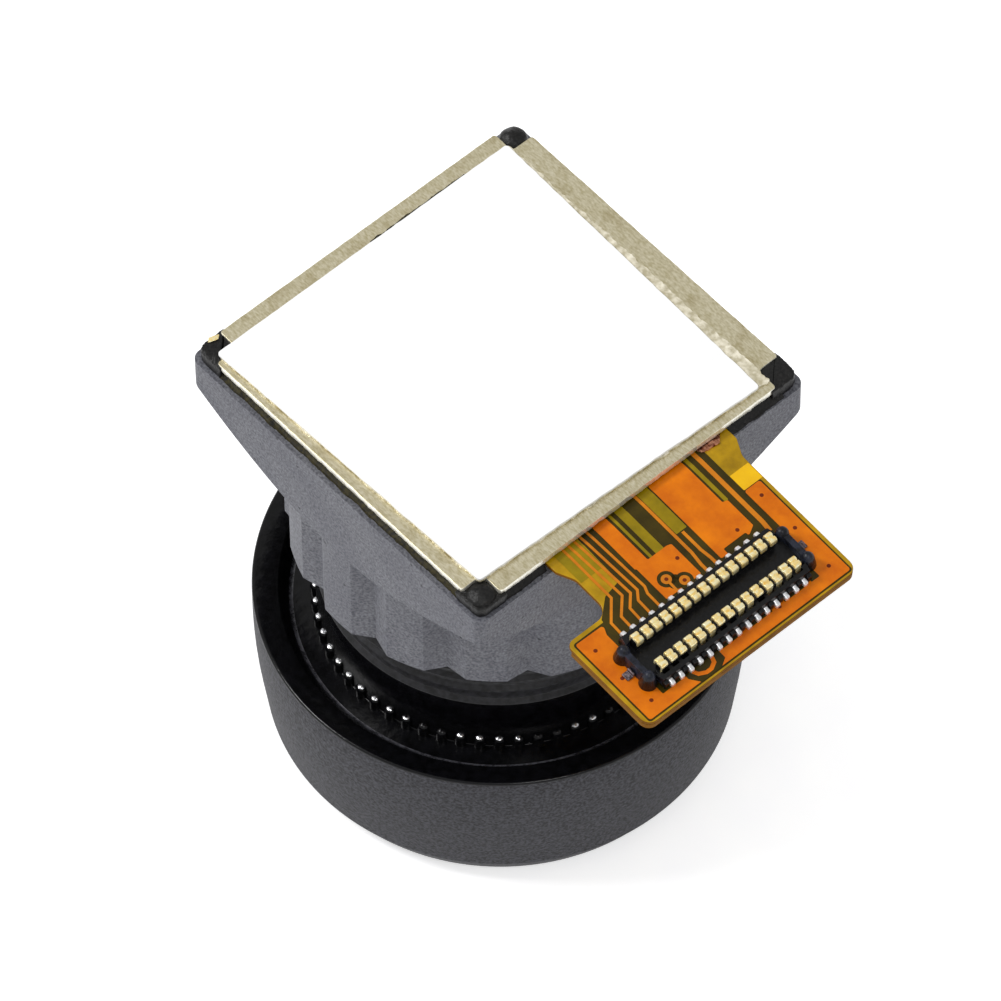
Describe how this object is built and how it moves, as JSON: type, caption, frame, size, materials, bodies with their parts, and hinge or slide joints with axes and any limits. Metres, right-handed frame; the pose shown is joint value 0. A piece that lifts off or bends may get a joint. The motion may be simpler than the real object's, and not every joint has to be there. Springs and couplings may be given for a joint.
{
  "type": "camera module",
  "caption": "Wide-angle camera module: threaded lens in a fluted, square-flanged holder, sensor board with metal stiffener, and a short film tail with a board-to-board plug.",
  "frame": {"origin": "the optical axis where it crosses the plane of the lens's front rim", "axes": "+Z along the optical axis towards the back of the module, +X the way the film tail leaves"},
  "size_m": [0.0211, 0.0162, 0.0185],
  "materials": {
    "black_anodised_aluminium": "satin black anodised, turned",
    "black_ring": "matt black anodised",
    "seal_rubber": "matt",
    "optical_glass": "polished and coated",
    "filter_glass": "polished with an interference coating",
    "stop_foil": "matt black",
    "holder_plastic": "fine moulded grain, dark grey",
    "black_glue": "glossy cured epoxy",
    "silicon": "polished",
    "ceramic_capacitor": "fired",
    "board_laminate": "glass-epoxy laminate, cut edge",
    "nickel_silver": "bright rolled, sheared edges",
    "adhesive_film": "soft pressure-sensitive film",
    "white_liner": "smooth siliconised paper",
    "polyimide_film": "amber film, satin gloss",
    "backer_film": "amber laminate, satin",
    "covered_copper": "copper under a clear cover film",
    "plug_plastic": "moulded liquid-crystal polymer",
    "gold_plate": "gold plated, bright",
    "solder": "bright tin"
  },
  "bodies": {
    "root": {"lens_housing": "black_anodised_aluminium", "front_retaining_ring": "black_ring", "front_seal": "seal_rubber", "front_meniscus": "optical_glass", "front_spacer": "black_ring", "second_meniscus": "optical_glass", "middle_spacer": "black_ring", "third_glass": "optical_glass", "stop_spacer": "black_ring", "aperture_stop": "stop_foil", "doublet_front_glass": "optical_glass", "doublet_rear_glass": "optical_glass", "rear_spacer": "black_ring", "rear_glass": "optical_glass", "lens_holder": "holder_plastic", "thread_glue": "black_glue", "infrared_filter": "filter_glass", "sensor_cover_glass": "optical_glass", "image_sensor": "silicon", "board_capacitors": "ceramic_capacitor", "holder_bond": "black_glue", "rigid_board": "board_laminate", "edge_glue": "black_glue", "stiffener_plate": "nickel_silver", "corner_glue": "black_glue", "backing_adhesive": "adhesive_film", "release_liner": "white_liner", "film_tail": "polyimide_film", "tail_stiffener": "backer_film", "tail_copper": "covered_copper", "plug_housing": "plug_plastic", "plug_contacts_inner": "gold_plate", "plug_contacts_outer": "gold_plate", "plug_anchors": "solder", "solder_joints": "solder"}
  },
  "joints": []
}
